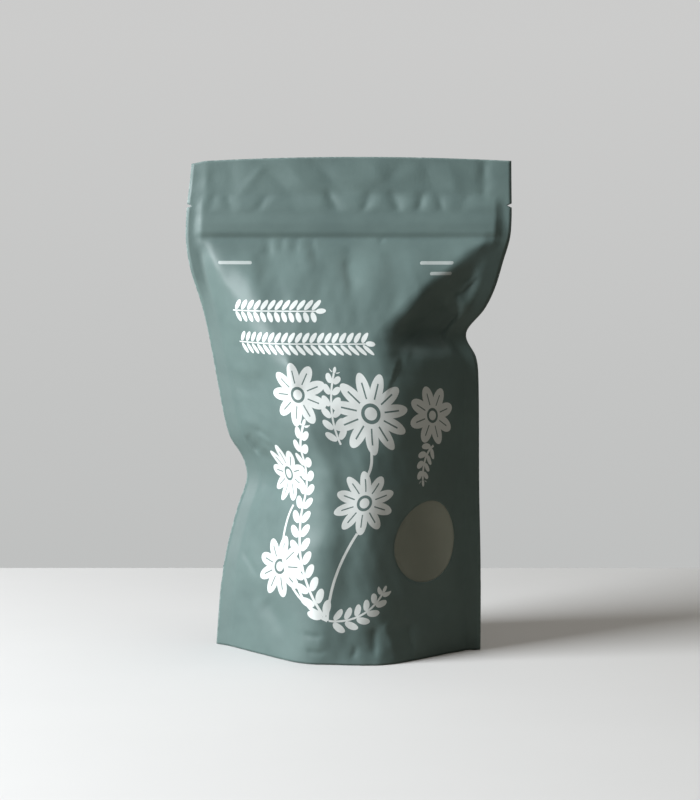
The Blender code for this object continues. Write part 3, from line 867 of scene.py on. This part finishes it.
def shaderOf(name):
    mat = bpy.data.materials.new(name)
    mat.use_nodes = True
    tree = mat.node_tree
    shader = tree.nodes["Principled BSDF"]
    return mat, tree, shader


def filmPlaceIn(tree):
    # the place on the flat film, in millimetres
    layer = tree.nodes.new("ShaderNodeUVMap")
    layer.uv_map = "FilmPlace"
    return vectorCalc(tree, "MULTIPLY", layer.outputs["UV"], (100.0, 100.0, 100.0))


def addBump(tree, shader, height, distance, strength=1.0):
    bump = tree.nodes.new("ShaderNodeBump")
    bump.inputs["Strength"].default_value = strength
    bump.inputs["Distance"].default_value = distance
    plug(tree, height, bump.inputs["Height"])
    tree.links.new(bump.outputs["Normal"], shader.inputs["Normal"])


filmLook = {
    "green": (0.099, 0.150, 0.144, 1),
    "greenLight": (0.116, 0.174, 0.166, 1),
    "ink": (0.66, 0.70, 0.69, 1),
    "core": (0.42, 0.50, 0.48, 1),
    "roughness": (0.50, 0.58),
    "specular": 0.45,
}


def printMask(tree, place):
    masks = []
    for x, y, radius, turn, petals in frontPrint["blossoms"]:
        masks.append(placeGroup(tree, blossomGroup, {
            "Place": place, "Middle": (x, y, 0), "Radius": radius, "Turn": math.radians(turn), "Petals": petals})["Mask"])
    for *ends, leaf, pitch, taper, stem in frontPrint["sprigs"]:
        masks.append(placeGroup(tree, sprigGroup, {
            "Place": place, **arcOf(*ends), "Leaf": leaf, "Pitch": pitch, "Taper": taper, "Stem": stem})["Mask"])
    for *ends, leaf, pitch in frontPrint["garlands"]:
        masks.append(placeGroup(tree, sprigGroup, {
            "Place": place, **arcOf(*ends, 0.0), "Leaf": leaf, "Pitch": pitch, "Stem": 0.4})["Mask"])
    whole = masks[0]
    for mask in masks[1:]:
        whole = calc(tree, "MAXIMUM", whole, mask)
    for x, y, length, height in frontPrint["bars"]:
        bar = placeGroup(tree, barGroup, {"Place": place, "Start": (x, y, 0), "Length": length, "Height": height})
        whole = calc(tree, "MAXIMUM", whole, calc(tree, "MULTIPLY", bar["Mask"], 0.5))
    return whole


def makeFilmMaterial(name, printed):
    mat, tree, shader = shaderOf(name)
    place = filmPlaceIn(tree)
    grain = placeGroup(tree, grainGroup, {"Place": place, "Grain": 0.22, "Handling": 0.8})
    worn = placeGroup(tree, rubbedEdgeGroup, {"Place": place, "Height": bag["height"] * 1000})
    tone = mixColour(tree, mapRange(tree, grain["Cloud"], 0.35, 0.65), filmLook["green"], filmLook["greenLight"])
    if printed:
        tone = mixColour(tree, printMask(tree, place), tone, filmLook["ink"])
    tone = mixColour(tree, calc(tree, "MULTIPLY", worn["Mask"], 0.6), tone, filmLook["core"])
    tree.links.new(tone, shader.inputs["Base Color"])
    tree.links.new(mapRange(tree, grain["Cloud"], 0.3, 0.7, *filmLook["roughness"]), shader.inputs["Roughness"])
    shader.inputs["Specular IOR Level"].default_value = filmLook["specular"]
    addBump(tree, shader, grain["Height"], 0.00016)
    return mat


def makeCoreMaterial():
    # the pale cut edge of the laminate
    mat, tree, shader = shaderOf("cut film edge")
    place = filmPlaceIn(tree)
    speck = noiseAt(tree, place, 1.4, 3.0, 0.6)
    tree.links.new(mixColour(tree, speck, (0.20, 0.28, 0.27, 1), filmLook["core"]), shader.inputs["Base Color"])
    tree.links.new(mapRange(tree, speck, 0.3, 0.7, 0.5, 0.7), shader.inputs["Roughness"])
    return mat


windowLook = {
    # the haze varies at random with the grain's cloud, and it is painted lighter and more veiled towards the window's
    # right and a little upwards: a painted sheen
    "haze": (0.36, 0.40, 0.34, 1),
    "hazePaintedSheen": (0.46, 0.50, 0.43, 1),
    "roughness": (0.34, 0.44),
    "veil": (0.50, 0.66),       # how much of what lies behind the haze hides, at its left and its right
}


def makeClearMaterial():
    mat, tree, shader = shaderOf("hazy clear film")
    place = filmPlaceIn(tree)
    grain = placeGroup(tree, grainGroup, {"Place": place, "Grain": 0.10, "Handling": 1.0})
    x, y, _ = split(tree, vectorCalc(tree, "SUBTRACT", place, (windowU * 1000, windowZ * 1000, 0)))
    # painted sheen: the haze turns lighter and hides more of the mix behind it towards the right and a little upwards,
    # rippled at random by the grain's cloud
    sheenSlope = calc(tree, "ADD", x, calc(tree, "MULTIPLY", y, 0.3))
    ripple = calc(tree, "MULTIPLY", calc(tree, "SUBTRACT", grain["Cloud"], 0.5), 14.0)
    share = mapRange(tree, calc(tree, "ADD", sheenSlope, ripple), -12.0, 28.0, smooth=True)
    tree.links.new(mixColour(tree, share, windowLook["haze"], windowLook["hazePaintedSheen"]), shader.inputs["Base Color"])
    tree.links.new(mapRange(tree, grain["Cloud"], 0.3, 0.7, *windowLook["roughness"]), shader.inputs["Roughness"])
    tree.links.new(mapRange(tree, share, 0.0, 1.0, *windowLook["veil"]), shader.inputs["Alpha"])
    addBump(tree, shader, grain["Height"], 0.0002)
    return mat


def makeSoilMaterial():
    mat, tree, shader = shaderOf("potting mix")
    where = tree.nodes.new("ShaderNodeTexCoord").outputs["Object"]
    coarse = noiseAt(tree, where, 420.0, 4.0, 0.65)
    fine = noiseAt(tree, where, 1900.0, 3.0, 0.6)
    tone = mixColour(tree, mapRange(tree, coarse, 0.35, 0.65), (0.016, 0.011, 0.008, 1), (0.062, 0.042, 0.028, 1))
    tone = mixColour(tree, mapRange(tree, fine, 0.62, 0.70), tone, (0.20, 0.15, 0.10, 1))
    tree.links.new(tone, shader.inputs["Base Color"])
    tree.links.new(mapRange(tree, coarse, 0.3, 0.7, 0.8, 1.0), shader.inputs["Roughness"])
    addBump(tree, shader, calc(tree, "ADD", coarse, fine), 0.0006)
    return mat


def makeZipMaterial():
    mat, tree, shader = shaderOf("extruded strip")
    where = tree.nodes.new("ShaderNodeTexCoord").outputs["Object"]
    streaks = noiseAt(tree, vectorCalc(tree, "MULTIPLY", where, (40.0, 900.0, 900.0)), 1.0, 3.0, 0.6)
    tree.links.new(mixColour(tree, streaks, (0.50, 0.55, 0.53, 1), (0.66, 0.70, 0.68, 1)), shader.inputs["Base Color"])
    tree.links.new(mapRange(tree, streaks, 0.3, 0.7, 0.28, 0.42), shader.inputs["Roughness"])
    addBump(tree, shader, streaks, 0.00005)
    return mat


printedFilm, plainFilm = makeFilmMaterial("printed matte film", True), makeFilmMaterial("plain matte film", False)
cutEdge, clearFilm = makeCoreMaterial(), makeClearMaterial()
soil, stripPlastic = makeSoilMaterial(), makeZipMaterial()
print("materials ready")

makeFrontFilm([printedFilm, cutEdge])
print("front film shaped")
makeBackFilm([plainFilm, cutEdge])
makeBottomFilm([plainFilm])
print("back film and bottom fold shaped")
makeWindow([clearFilm])
makeFilling([soil])
print("window and filling shaped")
for node in ("zip_strip_front", "zip_strip_back"):
    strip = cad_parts[node]
    strip.data.materials.clear()
    strip.data.materials.append(stripPlastic)

studio = {
    "distance": 1.25,           # camera to the middle of the bag, level
    "eyeHeight": 0.2848,
    "aside": 4.5,               # degrees round to the right of the bag's front
    "pitch": 5.22,
    "lens": 83.4,
    "offset": 0.0014,
    "floorBack": 0.302,         # the table ends this far behind the bag
    "tableLow": (0.66, 0.66, 0.655, 1),
    "tableHigh": (0.72, 0.72, 0.715, 1),
    "wallLow": (0.50, 0.51, 0.505, 1),
    "wallHigh": (0.60, 0.60, 0.595, 1),
    "bounceTone": (0.30, 0.27, 0.23, 1),
    "ambient": 0.07,
    "ambientTone": (1.06, 1.0, 0.88, 1),
}


def makeCamera():
    aside = math.radians(studio["aside"])
    data = bpy.data.cameras.new("camera")
    data.lens = studio["lens"]
    data.sensor_width = 36.0
    camera = bpy.data.objects.new("camera", data)
    camera.location = (studio["distance"] * math.sin(aside) + studio["offset"] * math.cos(aside),
                       -studio["distance"] * math.cos(aside) + studio["offset"] * math.sin(aside),
                       studio["eyeHeight"])
    camera.rotation_euler = (math.radians(90 - studio["pitch"]), 0, aside)
    bpy.context.scene.collection.objects.link(camera)
    bpy.context.scene.camera = camera


def makeFloor():
    mat, tree, shader = shaderOf("pale table")
    where = tree.nodes.new("ShaderNodeTexCoord").outputs["Object"]
    cloud = noiseAt(tree, where, 9.0, 4.0, 0.6)
    pale = mixColour(tree, cloud, studio["tableLow"], studio["tableHigh"])
    # a table this wide throws a lot of light up at the bag, so bounced light meets a darker tone
    seen = tree.nodes.new("ShaderNodeLightPath").outputs["Is Camera Ray"]
    tree.links.new(mixColour(tree, seen, studio["bounceTone"], pale), shader.inputs["Base Color"])
    shader.inputs["Roughness"].default_value = 0.9
    bpy.ops.mesh.primitive_plane_add(size=1)
    floor = bpy.context.object
    floor.name = "table"
    floor.scale = (6, 3, 1)
    floor.rotation_euler = (0, 0, math.radians(studio["aside"]))
    aside = math.radians(studio["aside"])
    back = studio["floorBack"] - 1.5
    floor.location = (-back * math.sin(aside), back * math.cos(aside), 0)
    floor.data.materials.append(mat)


def areaLight(name, place, target, size, power, tone=(1, 1, 1)):
    data = bpy.data.lights.new(name, "AREA")
    data.shape, data.size, data.energy, data.color = "SQUARE", size, power, tone
    light = bpy.data.objects.new(name, data)
    light.location = place
    light.rotation_euler = (Vector(target) - Vector(place)).to_track_quat("-Z", "Y").to_euler()
    bpy.context.scene.collection.objects.link(light)


def makeLight():
    world = bpy.data.worlds.new("studio")
    bpy.context.scene.world = world
    world.use_nodes = True
    tree = world.node_tree
    seen = tree.nodes.new("ShaderNodeBackground")
    _, _, up = split(tree, tree.nodes.new("ShaderNodeTexCoord").outputs["Generated"])
    wall = mixColour(tree, mapRange(tree, up, -0.25, 0.10), studio["wallLow"], studio["wallHigh"])
    tree.links.new(wall, seen.inputs["Color"])
    around = tree.nodes["Background"]
    around.inputs["Color"].default_value = studio["ambientTone"]
    around.inputs["Strength"].default_value = studio["ambient"]
    mix = tree.nodes.new("ShaderNodeMixShader")
    tree.links.new(tree.nodes.new("ShaderNodeLightPath").outputs["Is Camera Ray"], mix.inputs[0])
    tree.links.new(around.outputs[0], mix.inputs[1])
    tree.links.new(seen.outputs[0], mix.inputs[2])
    tree.links.new(mix.outputs[0], tree.nodes["World Output"].inputs["Surface"])
    areaLight("window light", (-1.64, -0.86, 0.92), (0, 0, 0.14), 0.9, 80, (0.97, 1.0, 1.03))
    areaLight("ceiling", (0.5, 0.15, 2.2), (0.1, 0.1, 0), 1.6, 13, (1.05, 1.0, 0.93))
    bpy.context.scene.view_settings.view_transform = "Standard"


makeCamera()
makeFloor()
makeLight()
